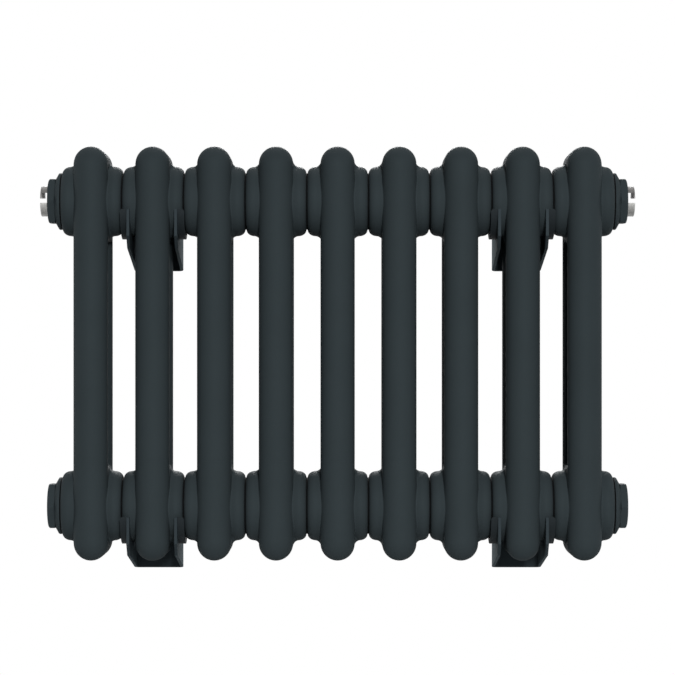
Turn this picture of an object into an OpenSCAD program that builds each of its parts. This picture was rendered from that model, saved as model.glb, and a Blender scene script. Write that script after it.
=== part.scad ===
// Sectional column radiator: pressed heads, round columns, screwed hubs,
// end bushes, an air vent, a blanking plug and four wall brackets.
// X runs along the radiator, -Y faces the room, Z is up. The origin is the
// middle of the wall brackets' upper bolt holes, on the wall's surface.

/* [Radiator] */
// Number of sections
sections = 9; // [4:1:9]
// Distance from one section's centre to the next
section_pitch = 45; // [44:0.5:50]
// Distance between the top and bottom hub axes
hub_spacing = 224; // [180:1:600]
// Distance from the wall to the hub axis
wall_distance = 51; // [48:1:80]

/* [Columns] */
// Outer diameter of a column
column_d = 25; // [22:0.5:26]
// Wall of a column
column_wall = 1.5; // [1:0.1:2.5]
// Distance between a section's front and rear columns
column_spacing = 40; // [36:0.5:44]

/* [Heads] */
// Height of the head's cross pipe above the hub axis
crown_rise = 26.6; // [25:0.1:32]
// Bend radius where the cross pipe turns down into a column
crown_bend = 3; // [2:0.5:6]
// Length of the stub between the hub axis and the column's weld
stub_length = 34; // [32:1:44]
// Outer diameter of the hub
hub_d = 51; // [48:0.5:54]
// Outer diameter of the hub's flat sealing face
hub_face_d = 42; // [41:0.5:44]
// Length over which the hub rounds down to its face
hub_round = 6; // [4:0.5:7]
// Sheet thickness of the pressed hub
hub_wall = 2; // [1.5:0.1:3]
// Diameter of the hub's thread
hub_thread_d = 33.2; // [30:0.1:34]
// Wall of the threaded ring inside the hub
ring_wall = 2.5; // [1.5:0.1:3]
// Length of the threaded ring
ring_length = 10; // [8:0.5:11]

/* [Joints between sections] */
// Thickness of a joint gasket
gasket_t = 1; // [0.6:0.1:1.6]
// Outer diameter of a joint gasket
gasket_d = 41.6; // [40:0.1:42]
// Engaged length of a nipple in each hub
nipple_reach = 9; // [6:0.5:10]
// Bore of a nipple
nipple_bore_d = 26; // [20:0.5:28]
// Radial clearance of a thread
thread_clearance = 0.1; // [0.05:0.01:0.15]

/* [End bushes] */
// Outer diameter of a bush's flange
bush_flange_d = 41.8; // [40:0.1:44]
// Thickness of the flange's rim
bush_rim = 1.3; // [0.8:0.1:2]
// Length of the cone behind the hexagon
bush_cone = 2.9; // [2:0.1:4]
// Diameter where the cone meets the hexagon
bush_neck_d = 33; // [32:0.1:36]
// Width of the hexagon across its flats
bush_hex = 32; // [30:0.5:34]
// Length of the hexagon
bush_hex_length = 5.2; // [4:0.1:9]
// Diameter of the hexagon's chamfered end face
bush_face_d = 31.2; // [28:0.1:31.5]
// Length of the thread that enters the hub
bush_thread = 12; // [9:0.5:14]
// Bore of the bush, for a half inch pipe thread
port_d = 18.6; // [16:0.1:19]

/* [Vent and plug] */
// Outer diameter of the vent's head
head_d = 22; // [21:0.1:24]
// Length of the vent's head
head_length = 5.6; // [5:0.1:8]
// Edge radius of the head
head_edge = 0.8; // [0.4:0.1:1.2]
// Outer diameter of the sealing collar under the head
collar_d = 23.2; // [23:0.1:25]
// Thickness of the sealing collar
collar_t = 1; // [0.8:0.1:1.5]
// Depth of the head's driver slot below the axis
slot_below = 1.1; // [1:0.1:2]
// Height of the head's driver slot above the axis
slot_above = 3.1; // [3:0.1:4]
// Height of the undercut above the axis
undercut_above = 6.6; // [5:0.1:8]
// Thickness of the head's face in front of the undercut
face_t = 1; // [0.8:0.1:1.5]
// Length of the threaded tail
tail_length = 12; // [11:0.5:14]
// Cord diameter of the tail's sealing ring
seal_cord_d = 1.6; // [1.2:0.1:1.8]

/* [Bleed screw] */
// Diameter of the bleed screw
bleed_d = 6; // [5:0.1:7]
// Running clearance of the bleed screw
bleed_clearance = 0.05; // [0.03:0.01:0.1]
// Depth of the screw's bore in the tail
bleed_depth = 8; // [7:0.1:9]
// Depth of the closed screw's end below the bush's face
bleed_sink = 0.6; // [0.2:0.1:1]
// Width of the screw's hexagon socket across its flats
bleed_socket = 3; // [2:0.5:3.5]
// Depth of the socket
bleed_socket_depth = 3; // [2:0.1:4]
// Diameter of the hole that lets a key reach the screw
key_hole_d = 5.2; // [4:0.1:5.8]
// Thickness of the rubber pad on the vent's seat
pad_t = 1.2; // [0.8:0.1:1.6]
// Diameter of the rubber pad
pad_d = 5.2; // [4:0.1:5.8]
// Gap between the pad and what it touches
pad_gap = 0.05; // [0.02:0.01:0.1]
// Diameter of the vent's air orifice
orifice_d = 2; // [1:0.1:3]
// Width of the air groove along the screw
groove_w = 0.8; // [0.6:0.1:1.2]
// Depth of the air groove
groove_depth = 0.7; // [0.5:0.1:1]

/* [Wall brackets] */
// Number of sections outside each bracket
outer_sections = 1; // [0:1:1]
// Outer width of the bracket
bracket_w = 37; // [34:0.5:38]
// Sheet thickness of the bracket
bracket_t = 2.3; // [1.5:0.1:3]
// Outer radius of the bracket's folds
bracket_fold = 3.5; // [3:0.1:5]
// Reach of the bracket's nose in front of the hub axis
nose_reach = 27.6; // [27.2:0.1:30]
// Depth of the nose's tip below the hub axis
nose_top = 6.9; // [4:0.1:12]
// Depth of the nose's lower corner below the hub axis
nose_bottom = 26.5; // [24:0.1:30]
// Reach of the toe in front of the hub axis
toe_reach = 19; // [12:0.5:22]
// Depth of the toe below the hub axis
toe_depth = 35.4; // [32:0.1:40]
// Depth of the back plate's lower edge below the hub axis
back_drop = 49.8; // [45:0.1:60]
// Height of the back plate's upper edge above the hub axis
back_rise = 16; // [14:0.5:20]
// Height of the side plates behind the hub
cheek_rise = 8; // [2:0.5:12]
// Diameter of the bracket's main bolt hole
bolt_hole_d = 9; // [6:0.5:12]
// Diameter of the bracket's lower screw hole
screw_hole_d = 7; // [4:0.5:8]
// Distance between the bracket's two holes
hole_spacing = 30; // [20:1:36]

/* [Bracket liners] */
// Thickness of the liner between the hub and the plate's edge
liner_t = 0.7; // [0.5:0.1:1.2]
// Clearance between the hub and its liner
liner_clearance = 0.05; // [0.02:0.01:0.1]
// Overhang of the liner beside the plate
liner_side = 4.9; // [2:0.1:5]
// Height of the liner's outer rim
liner_rim = 2.4; // [1.5:0.1:3]

/* [Hidden] */
$fn = 96;
eps = 0.01;
paint = "#363e41";
steel = "#b4b2aa";
nickel = "#9b9793";
rubber = "#1c1d1e";
nylon = "#2b3133";

radius = column_d / 2;
bore_r = radius - column_wall;
hub_half = (section_pitch - gasket_t) / 2;
hub_r = hub_d / 2;
hub_face_r = hub_face_d / 2;
thread_r = hub_thread_d / 2;
male_r = thread_r - thread_clearance;
ring_r = thread_r + ring_wall;
middle = (sections + 1) / 2;
last_x = (sections - middle) * section_pitch;
axis_z = hub_spacing / 2;
axis_y = -wall_distance;

bush_seat_x = hub_half + gasket_t;
bush_cone_x = bush_seat_x + bush_rim;
bush_hex_x = bush_cone_x + bush_cone;
bush_end_x = bush_hex_x + bush_hex_length;
end_x = last_x + bush_end_x;
port_r = port_d / 2;
tail_r = port_r - thread_clearance;
seal_r = seal_cord_d / 2;
seal_mid_r = tail_r + thread_clearance + seal_r;
seal_pocket_r = seal_mid_r + seal_r + thread_clearance;
seal_pocket_depth = seal_cord_d + thread_clearance;

bleed_r = bleed_d / 2;
bleed_bore_r = bleed_r + bleed_clearance;
pad_end = pad_gap + pad_t;
bleed_start = pad_end + pad_gap;

bracket_x = (middle - 1 - outer_sections) * section_pitch;
plate_out = bracket_w / 2;
plate_in = plate_out - bracket_t;
liner_r = hub_r + liner_clearance;
saddle_r = liner_r + liner_t;
nose_y = axis_y - nose_reach;
SIDES = ["left", "right"];
LEVELS = ["bottom", "top"];

NODES = concat(
    [for (n = [1:sections], level = LEVELS) str("section_", n, "_", level, "_head")],
    [for (n = [1:sections], row = ["front", "rear"]) str("section_", n, "_", row, "_column")],
    [for (level = LEVELS) str(level, "_nipples")],
    [for (level = LEVELS) str(level, "_gaskets")],
    [for (level = LEVELS, side = SIDES) str(level, "_", side, "_bush")],
    ["bush_gaskets", "vent_body", "vent_seal_ring", "bleed_screw", "vent_pad"],
    ["blank_plug", "plug_seal_ring"],
    [for (level = LEVELS, side = SIDES) str(level, "_", side, "_bracket")],
    [for (level = LEVELS, side = SIDES) str(level, "_", side, "_liners")]
);
node = "all";

function section_x(n) = (n - middle) * section_pitch;
function level_z(level) = level == "top" ? axis_z : -axis_z;
function side_sign(side) = side == "left" ? -1 : 1;
function shown(name) = node == "all" || node == name;
// Points of a quarter ellipse from [r, x] = [low_r + rise, x] down to [low_r, x + run]
function rounded_end(low_r, rise, x, run, steps) =
    [for (i = [0:steps]) [low_r + rise * cos(90 * i / steps), x + run * sin(90 * i / steps)]];

// Turns a shape made around Z so that it lies along X
module along_x() { rotate([0, 90, 0]) children(); }

// A plain disc or ring along X between two distances from the origin
module ring_x(outer_r, inner_r, from, to) {
    translate([from, 0, 0]) along_x() difference() {
        cylinder(r = outer_r, h = to - from);
        translate([0, 0, -1]) cylinder(r = inner_r, h = to - from + 2);
    }
}

// Places children at a hub, with +X pointing out of the radiator's end
module at_end(level, side) {
    translate([side_sign(side) * end_x, axis_y, level_z(level)])
        mirror([side == "left" ? 1 : 0, 0, 0]) children();
}

// Half of the hub's solid of revolution, as [radius, distance along the axis]
module hub_profile(r, face_r, straight, half) {
    polygon(concat([[0, 0], [r, 0]],
        rounded_end(face_r, r - face_r, straight, half - straight, 10), [[0, half]]));
}

// The pair of columns and the cross pipe that joins them, for one pipe radius
module arch(r, foot) {
    bend_y = column_spacing / 2 - crown_bend;
    bend_z = crown_rise - crown_bend;
    for (front = [-1, 1]) {
        translate([0, front * column_spacing / 2, -foot]) cylinder(r = r, h = foot + bend_z);
        translate([0, front * bend_y, bend_z])
            rotate([90, 0, front * 90]) rotate_extrude(angle = 90) intersection() {
                translate([crown_bend, 0]) circle(r = r);
                translate([0, -r - 1]) square([crown_bend + r + 1, 2 * r + 2]);
            }
    }
    translate([0, -bend_y, crown_rise]) rotate([-90, 0, 0]) cylinder(r = r, h = 2 * bend_y);
}

// The room inside a head: columns, cross pipe, hub and its two threads
module head_room() {
    arch(bore_r, stub_length + 1);
    for (end = [0, 1]) mirror([end, 0, 0]) along_x() rotate_extrude() {
        difference() {
            hub_profile(hub_r - hub_wall, ring_r, hub_half - hub_round - hub_wall, hub_half - hub_wall);
            translate([0, hub_half - ring_length]) square([ring_r, ring_length]);
        }
        square([thread_r, hub_half + 1]);
    }
}

// A section's head, upright, with its hub axis through the origin
module head() {
    difference() {
        union() {
            arch(radius, stub_length);
            for (end = [0, 1]) mirror([end, 0, 0]) along_x()
                rotate_extrude() hub_profile(hub_r, hub_face_r, hub_half - hub_round, hub_half);
        }
        head_room();
    }
}

module section_head(n, level) {
    color(paint) translate([section_x(n), axis_y, level_z(level)])
        mirror([0, 0, level == "bottom" ? 1 : 0]) head();
}

module column(n, row) {
    half = axis_z - stub_length;
    y = axis_y + (row == "front" ? -1 : 1) * column_spacing / 2;
    color(paint) translate([section_x(n), y, -half]) difference() {
        cylinder(r = radius, h = 2 * half);
        translate([0, 0, -1]) cylinder(r = bore_r, h = 2 * half + 2);
    }
}

// Positions of the seams between neighbouring sections on one level
module at_seams(level) {
    for (n = [1:sections - 1])
        translate([section_x(n) + section_pitch / 2, axis_y, level_z(level)]) children();
}

module nipples(level) {
    reach = nipple_reach + gasket_t / 2;
    color(steel) at_seams(level) ring_x(male_r, nipple_bore_d / 2, -reach, reach);
}

module gaskets(level) {
    color(rubber) at_seams(level) ring_x(gasket_d / 2, thread_r, -gasket_t / 2, gasket_t / 2);
}

module bush_gaskets() {
    color(rubber) for (level = LEVELS, side = SIDES)
        at_end(level, side)
            ring_x(gasket_d / 2, thread_r, hub_half - bush_end_x, bush_seat_x - bush_end_x);
}

// The hexagon of a bush with its chamfered end, ending at X = 0
module bush_hexagon() {
    corner_r = bush_hex / sqrt(3);
    chamfer = (corner_r - bush_face_d / 2) * tan(30);
    intersection() {
        translate([-bush_hex_length, 0, 0]) along_x()
            rotate([0, 0, 30]) cylinder(r = corner_r, h = bush_hex_length, $fn = 6);
        translate([-bush_hex_length, 0, 0]) along_x() union() {
            cylinder(r = corner_r + 1, h = bush_hex_length - chamfer);
            translate([0, 0, bush_hex_length - chamfer])
                cylinder(r1 = corner_r, r2 = bush_face_d / 2, h = chamfer);
        }
    }
}

module bush(level, side) {
    seat = bush_seat_x - bush_end_x;
    cone = bush_cone_x - bush_end_x;
    color(paint) at_end(level, side) difference() {
        union() {
            translate([seat - bush_thread, 0, 0]) along_x() cylinder(r = male_r, h = bush_thread + eps);
            translate([seat, 0, 0]) along_x() cylinder(d = bush_flange_d, h = bush_rim);
            translate([cone, 0, 0]) along_x()
                cylinder(d1 = bush_flange_d, d2 = bush_neck_d, h = bush_cone);
            bush_hexagon();
        }
        translate([seat - bush_thread - 1, 0, 0]) along_x()
            cylinder(r = port_r, h = bush_thread - seat + 2);
        translate([-seal_pocket_depth, 0, 0]) along_x()
            cylinder(r = seal_pocket_r, h = seal_pocket_depth + 1);
    }
}

module seal_ring(side) {
    color(rubber) at_end("top", side) translate([-seal_pocket_depth + seal_r, 0, 0]) along_x()
        rotate_extrude() translate([seal_mid_r, 0]) circle(r = seal_r);
}

// A head with a driver slot and an undercut behind its face, on a threaded tail
module slotted_plug() {
    slot_h = slot_below + slot_above;
    difference() {
        union() {
            translate([-tail_length, 0, 0]) along_x() cylinder(r = tail_r, h = tail_length + eps);
            along_x() cylinder(d = collar_d, h = collar_t);
            along_x() rotate_extrude() {
                square([head_d / 2, head_length - head_edge]);
                square([head_d / 2 - head_edge, head_length]);
                translate([head_d / 2 - head_edge, head_length - head_edge]) circle(r = head_edge);
            }
        }
        translate([0, -collar_d, -slot_below]) cube([head_length + 1, 2 * collar_d, slot_h]);
        translate([0, -collar_d, -slot_below])
            cube([head_length - face_t, 2 * collar_d, slot_below + undercut_above]);
    }
}

module vent_body() {
    color(nickel) at_end("top", "left") difference() {
        slotted_plug();
        translate([-bleed_depth, 0, 0]) along_x() cylinder(r = bleed_bore_r, h = bleed_depth + 1);
        translate([-tail_length - 1, 0, 0]) along_x() cylinder(d = orifice_d, h = tail_length);
        along_x() cylinder(d = key_hole_d, h = head_length + 1);
        translate([-bleed_depth, -groove_w / 2, 0])
            cube([bleed_depth + 1, groove_w, bleed_bore_r + groove_depth]);
    }
}

module blank_plug() {
    color(nickel) at_end("top", "right") slotted_plug();
}

module vent_pad() {
    color(rubber) at_end("top", "left") translate([-bleed_depth + pad_gap, 0, 0]) along_x()
        cylinder(d = pad_d, h = pad_t);
}

module bleed_screw() {
    screw_length = bleed_depth - bleed_start - bleed_sink;
    color(nickel) at_end("top", "left") translate([-bleed_sink - screw_length, 0, 0]) along_x()
        difference() {
            cylinder(r = bleed_r, h = screw_length);
            translate([0, 0, screw_length - bleed_socket_depth])
                cylinder(d = bleed_socket / cos(30), h = bleed_socket_depth + 1, $fn = 6);
        }
}

// The bracket's folded channel seen from above, with rounded folds at the wall
module channel(w, front, fold) {
    translate([-w / 2, front]) square([w, -front - fold]);
    translate([-w / 2 + fold, -fold - eps]) square([w - 2 * fold, fold + eps]);
    for (x = [-1, 1]) translate([x * (w / 2 - fold), -fold]) circle(r = fold);
}

// The side view of the bracket's plates, as [distance from the wall, height]
module bracket_outline() {
    difference() {
        polygon([[nose_y, -nose_top], [nose_y, -nose_bottom], [axis_y - toe_reach, -toe_depth],
            [0, -back_drop], [0, back_rise], [-bracket_fold, back_rise],
            [axis_y + saddle_r, cheek_rise], [axis_y + saddle_r, -nose_top]]);
        translate([axis_y, 0]) circle(r = saddle_r);
    }
}

module bracket(level, side) {
    color(paint) translate([side_sign(side) * bracket_x, 0, level_z(level)]) difference() {
        intersection() {
            translate([0, 0, -back_drop]) linear_extrude(back_drop + back_rise) difference() {
                channel(bracket_w, nose_y, bracket_fold);
                translate([0, -bracket_t])
                    channel(bracket_w - 2 * bracket_t, nose_y - 1, bracket_fold - bracket_t);
            }
            translate([-plate_out, 0, 0]) rotate([90, 0, 90])
                linear_extrude(bracket_w) bracket_outline();
        }
        translate([0, 1, 0]) rotate([90, 0, 0]) cylinder(d = bolt_hole_d, h = bracket_t + 2);
        translate([0, 1, -hole_spacing]) rotate([90, 0, 0]) cylinder(d = screw_hole_d, h = bracket_t + 2);
    }
}

// One liner: a lining on the plate's edge and a wider rim beside the plate
module liner() {
    difference() {
        along_x() difference() {
            union() {
                translate([0, 0, plate_in]) cylinder(r = saddle_r, h = bracket_t);
                translate([0, 0, plate_out]) cylinder(r = liner_r + liner_rim, h = liner_side);
            }
            cylinder(r = liner_r, h = bracket_w);
        }
        translate([0, -hub_d, -nose_top]) cube([bracket_w, 2 * hub_d, hub_d]);
    }
}

module liners(level, side) {
    color(nylon) translate([side_sign(side) * bracket_x, axis_y, level_z(level)])
        for (plate = [0, 1]) mirror([plate, 0, 0]) liner();
}

for (n = [1:sections], level = LEVELS)
    if (shown(str("section_", n, "_", level, "_head"))) section_head(n, level);
for (n = [1:sections], row = ["front", "rear"])
    if (shown(str("section_", n, "_", row, "_column"))) column(n, row);
for (level = LEVELS) {
    if (shown(str(level, "_nipples"))) nipples(level);
    if (shown(str(level, "_gaskets"))) gaskets(level);
}
for (level = LEVELS, side = SIDES) {
    if (shown(str(level, "_", side, "_bush"))) bush(level, side);
    if (shown(str(level, "_", side, "_bracket"))) bracket(level, side);
    if (shown(str(level, "_", side, "_liners"))) liners(level, side);
}
if (shown("bush_gaskets")) bush_gaskets();
if (shown("vent_body")) vent_body();
if (shown("vent_seal_ring")) seal_ring("left");
if (shown("bleed_screw")) bleed_screw();
if (shown("vent_pad")) vent_pad();
if (shown("blank_plug")) blank_plug();
if (shown("plug_seal_ring")) seal_ring("right");
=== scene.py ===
"""Dresses a packed two-column radiator: heads, columns, end bushes, air vent, plug and wall brackets."""

import math

import bmesh
import bpy
import numpy as np
from bpy.props import FloatProperty, FloatVectorProperty, IntProperty, PointerProperty
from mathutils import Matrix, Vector


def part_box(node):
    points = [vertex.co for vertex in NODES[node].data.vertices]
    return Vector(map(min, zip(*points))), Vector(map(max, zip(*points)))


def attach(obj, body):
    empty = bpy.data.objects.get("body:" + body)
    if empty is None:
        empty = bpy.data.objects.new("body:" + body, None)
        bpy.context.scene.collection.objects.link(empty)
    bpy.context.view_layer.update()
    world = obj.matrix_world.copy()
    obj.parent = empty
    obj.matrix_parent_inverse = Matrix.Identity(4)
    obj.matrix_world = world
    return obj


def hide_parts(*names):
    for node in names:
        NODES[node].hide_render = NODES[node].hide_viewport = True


bl_info = {
    "name": "Column radiator dresser",
    "version": (1, 0, 0),
    "blender": (4, 5, 0),
    "location": "3D View > Sidebar > Radiator",
    "description": "Builds the visible surfaces, finishes and studio of a column radiator",
    "category": "Object",
}

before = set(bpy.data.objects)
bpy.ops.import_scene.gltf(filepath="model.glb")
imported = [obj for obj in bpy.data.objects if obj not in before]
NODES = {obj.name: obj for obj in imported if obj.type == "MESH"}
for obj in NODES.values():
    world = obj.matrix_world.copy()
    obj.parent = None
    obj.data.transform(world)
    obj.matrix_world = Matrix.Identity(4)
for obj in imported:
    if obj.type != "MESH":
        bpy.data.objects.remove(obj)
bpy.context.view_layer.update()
SECTIONS = sorted(int(name.split("_")[1]) for name in NODES if name.endswith("_top_head"))
LEVELS = ("bottom", "top")
SIDES = ("left", "right")
ROOT = "radiator"
WHITE = (1, 1, 1, 1)
# Millimetres in a metre, and the distance in metres within which points are welded.
MM = 1000
WELD = 1e-6


# ---------------------------------------------------------------- sizes and colours


def linear(hex_colour):
    """Linear RGBA of an sRGB hex colour: each channel over 255, then through the sRGB curve."""
    srgb = np.array([int(hex_colour[i : i + 2], 16) for i in (1, 3, 5)]) / 255
    value = np.where(srgb <= 0.04045, srgb / 12.92, ((srgb + 0.055) / 1.055) ** 2.4)
    return (*value.tolist(), 1.0)


def length(name, description, metres):
    """A size in metres."""
    return FloatProperty(
        name=name, description=description, default=metres, min=0, unit="LENGTH", precision=5
    )


def plain_number(name, description, value, low=0.0):
    """A plain number: a strength, or a share of something else."""
    return FloatProperty(name=name, description=description, default=value, min=low, precision=4)


def colour(name, description, hex_colour):
    """A colour, given as sRGB hex and held as linear RGBA."""
    value = linear(hex_colour)
    return FloatVectorProperty(
        name=name, description=description, default=value, size=4, min=0, max=1, subtype="COLOR"
    )


class SectionSizes(bpy.types.PropertyGroup):
    """Sizes of the heads and columns of a section"""

    hub_diameter: length("Hub diameter", "Outside diameter of a head's cross hub", 0.051)
    face_diameter: length("Hub face", "Diameter of the flat face at each end of the hub", 0.042)
    hub_round: length("Hub rounding", "Depth of the rounded end of the hub, along its axis", 0.006)
    hub_dip: length("Hub dip", "How much shallower the hub is beside the columns than at its ends", 0.0012)
    crown_bend: length("Crown bend", "Centre line radius of the crown's two bends", 0.003)
    crease: length("Crease", "Radius of the hollow where a column's outer side runs into the hub", 0.0008)
    saddle: length("Saddle", "Radius of the hollows between the columns, over web and hub", 0.0042)
    web_arch: length("Web arch", "Height of the web's arch between the columns' feet", 0.003)
    thread_diameter: length("Hub thread", "Diameter of the hub's threaded opening", 0.0332)
    segments: IntProperty(name="Tube segments", description="Facets round a column", default=96, min=24)


class BushSizes(bpy.types.PropertyGroup):
    """Sizes of a hexagon end bush"""

    thread_diameter: length("Bush thread", "Outside diameter of the bush's own thread", 0.033)
    thread_length: length("Thread length", "Length of the bush's own thread", 0.012)
    flange_diameter: length("Flange", "Diameter of the rim that meets the gasket", 0.0418)
    rim: length("Rim", "Width of the straight part of the flange", 0.0013)
    rim_round: length("Rim rounding", "Radius of the shoulder between the flange and the cone", 0.0012)
    cone: length("Cone", "Length of the cone behind the hexagon", 0.0029)
    neck_diameter: length("Neck", "Diameter where the cone meets the hexagon", 0.033)
    hexagon: length("Hexagon", "Width of the hexagon across its flats", 0.032)
    hexagon_length: length("Hexagon length", "Length of the hexagon", 0.0052)
    face_diameter: length("Chamfer circle", "Diameter where the chamfer meets the face", 0.0312)
    edge: length("Edge break", "Radius of the small edge roundings", 0.0003)
    port_diameter: length("Port", "Minor diameter of the pipe thread", 0.0186)
    pitch: length("Pipe thread pitch", "Pitch of the half inch pipe thread", 0.001814)
    depth: length("Pipe thread depth", "Depth of the half inch pipe thread", 0.00116)
    mouth: length("Port mouth", "How far the port's mouth opens past the thread's bottom", 0.0004)
    pocket_diameter: length("Seal pocket", "Diameter of the seal ring's pocket", 0.022)
    pocket_depth: length("Pocket depth", "Depth of the seal ring's pocket", 0.0017)


class PlugSizes(bpy.types.PropertyGroup):
    """Sizes of the air vent and the blanking plug"""

    diameter: length("Head diameter", "Diameter of the slotted head", 0.022)
    height: length("Head height", "Height of the head over the bush", 0.0056)
    edge: length("Head edge", "Radius of the head's rounded rim", 0.0004)
    collar_diameter: length("Collar diameter", "Diameter of the thin collar", 0.0232)
    collar: length("Collar", "Thickness of the thin collar", 0.001)
    slot_below: length("Slot below axis", "Depth of the driver slot below the axis", 0.0009)
    slot_above: length("Slot above axis", "Height of the driver slot above the axis", 0.0022)
    turn: FloatProperty(
        name="Slot turn", description="Angle the slot was left at", default=0.06, subtype="ANGLE"
    )
    undercut: length("Undercut", "Height of the undercut behind the face, above the axis", 0.0064)
    face: length("Face plate", "Thickness of the plug's plate over the undercut", 0.001)
    vent_face: length("Vent's face plate", "Thickness of the vent's plate over the undercut", 0.0016)
    tail_diameter: length("Tail diameter", "Diameter of the threaded tail", 0.0184)
    tail: length("Tail", "Length of the threaded tail", 0.012)
    key_hole: length("Key hole", "Diameter of the hole that lets a key reach the bleed screw", 0.0052)
    bore: length("Screw bore", "Diameter of the bleed screw's bore", 0.0061)
    bore_depth: length("Bore depth", "Depth of the bleed screw's bore", 0.008)
    orifice: length("Orifice", "Diameter of the air orifice", 0.002)
    groove: length("Air groove", "Width of the air groove along the screw", 0.0008)
    groove_depth: length("Groove depth", "Depth of the air groove", 0.0007)
    broken_edge: length("Broken edge", "Radius of the small edge roundings", 0.00015)
    # Painted shade: above this height over the axis a slotted head takes the darker nickel.
    shaded_above: length("Shaded above", "Height over the axis from which a head is tarnished", 0.0015)


class SheetSizes(bpy.types.PropertyGroup):
    """Sizes of the brackets' sheet and of their liners"""

    cut_edge: length("Cut edge", "Rounding that the coating leaves on the sheet's cut edges", 0.00035)
    sheet: length("Sheet", "Thickness of the bracket's sheet", 0.0023)
    seat_diameter: length("Liner seat", "Diameter of the liners' seat for the hub", 0.0511)
    lining: length("Lining", "Thickness of the liner over the edge of the sheet", 0.0007)
    moulded_edge: length("Moulded edge", "Rounding of the plastic liners' edges", 0.0003)
    corner: length("Liner corner", "Radius of the liners' top outer corners", 0.0018)


class Finishes(bpy.types.PropertyGroup):
    """Colours of the finishes and the floor"""

    paint: colour("Anthracite", "Powder coat on the sections and bushes", "#373f42")
    bracket_paint: colour("Bracket anthracite", "Powder coat on the brackets", "#343c40")
    nickel: colour("Nickel", "Nickel plate on the vent and the plug", "#a6a6a4")
    # Painted shade: a darker nickel for the upper half of each slotted head, standing in for the darker
    # surroundings that it reflects.
    shaded_nickel: colour("Shaded nickel", "Darkened upper half of each slotted head", "#6a6968")
    rubber: colour("Rubber", "Black rubber of the gaskets and seal rings", "#0d0e0f")
    nylon: colour("Nylon", "Dark grey nylon of the bracket liners", "#282e31")
    zinc: colour("Zinc plate", "Zinc plate on the hidden nipples", "#a9aaa6")
    floor: colour("Floor", "Pale studio floor", "#d6d6d6")
    flake: plain_number("Flake", "Share of metal flake in the brackets' coat", 0.22)


class StudioSizes(bpy.types.PropertyGroup):
    """Camera, floor and even light"""

    lens: FloatProperty(
        name="Lens", description="Focal length of the camera", default=135, min=1, unit="CAMERA"
    )
    sensor: FloatProperty(
        name="Sensor", description="Width of the camera's sensor", default=36, min=1, unit="CAMERA"
    )
    shift_x: plain_number("Shift X", "Sideways shift, as a share of the sensor", -0.0002, low=-1.0)
    shift_y: plain_number("Shift Y", "Upward shift, as a share of the sensor", 0.0238, low=-1.0)
    distance: length("Camera distance", "From the camera to the middle of the front columns", 1.845)
    floor_half: length("Floor half", "Half the width of the floor", 0.5)
    floor_drop: length("Floor drop", "How far the floor lies below the origin", 0.30)
    fade_near: length("Fade start", "Radius at which the floor starts to fade to white", 0.34)
    fade_far: length("Fade end", "Radius from which the floor looks white", 0.43)
    ambient: plain_number("Ambient", "Strength of the even light from all round", 0.03)


GROUPS = {
    "radiator_section": SectionSizes,
    "radiator_bush": BushSizes,
    "radiator_plug": PlugSizes,
    "radiator_sheet": SheetSizes,
    "radiator_finish": Finishes,
    "radiator_studio": StudioSizes,
}


def centre(node):
    """Middle of a CAD node's box."""
    low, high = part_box(node)
    return (low + high) / 2


def hub_line(level):
    """Y and Z of a hub axis, which the round gaskets are centred on."""
    middle = centre(f"{level}_gaskets")
    return middle.y, middle.z


# ---------------------------------------------------------------- meshes


def eased(part):
    """A smooth step: three times the square less twice the cube of a part, which is held from 0 to 1."""
    part = np.clip(part, 0, 1)
    return part**2 * (3 - 2 * part)


def grid_faces(rows, columns, wrap_rows=False, wrap_columns=False):
    """Corner numbers of the quads between neighbouring rows and columns of a grid of points."""
    row = np.arange(rows if wrap_rows else rows - 1)[:, None]
    column = np.arange(columns if wrap_columns else columns - 1)
    below = (row + 1) % rows
    beside = (column + 1) % columns
    corners = [
        row * columns + column,
        row * columns + beside,
        below * columns + beside,
        below * columns + column,
    ]
    return np.stack(corners, -1).reshape(-1, 4)


def surface_mesh(name, surfaces):
    """One mesh of several grids, welded where they meet. Each is (points[rows, columns, 3], wrap_rows,
    wrap_columns)."""
    points, faces, start = [], [], 0
    for grid, wrap_rows, wrap_columns in surfaces:
        rows, columns = grid.shape[:2]
        points.append(grid.reshape(-1, 3))
        faces.append(grid_faces(rows, columns, wrap_rows, wrap_columns) + start)
        start += rows * columns
    mesh = bpy.data.meshes.new(name)
    mesh.from_pydata(np.concatenate(points).tolist(), [], np.concatenate(faces).tolist())
    merge(mesh)
    return mesh


def merge(mesh, flat_angle=None):
    """Welds coincident points, dissolves edges inside flat faces if asked, and turns the faces outwards."""
    cage = bmesh.new()
    cage.from_mesh(mesh)
    bmesh.ops.remove_doubles(cage, verts=cage.verts, dist=WELD)
    bmesh.ops.dissolve_degenerate(cage, edges=cage.edges, dist=WELD / 10)
    if flat_angle is not None:
        bmesh.ops.dissolve_limit(cage, angle_limit=flat_angle, verts=cage.verts, edges=cage.edges)
    bmesh.ops.recalc_face_normals(cage, faces=cage.faces)
    cage.to_mesh(mesh)
    cage.free()
    mesh.update()


def put_piece(name, mesh, material, nodes, sharp=35, body=ROOT):
    """Shows a mesh as a piece that stands for CAD nodes, smooth but for edges sharper than an angle."""
    mesh.name = name
    mesh.materials.clear()
    mesh.materials.append(material)
    mesh.shade_smooth()
    mesh.set_sharp_from_angle(angle=math.radians(sharp))
    piece = bpy.data.objects.new(name, mesh)
    bpy.context.scene.collection.objects.link(piece)
    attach(piece, body)
    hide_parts(*nodes)
    return piece


def moved_copy(mesh, offset, upside_down=False):
    """A copy of a mesh with its points moved, and first mirrored in Z if it hangs upside down."""
    copy = mesh.copy()
    points = np.empty(len(copy.vertices) * 3)
    copy.vertices.foreach_get("co", points)
    points = points.reshape(-1, 3)
    if upside_down:
        points[:, 2] *= -1
        copy.flip_normals()
    copy.vertices.foreach_set("co", (points + offset).ravel())
    copy.update()
    return copy


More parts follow.
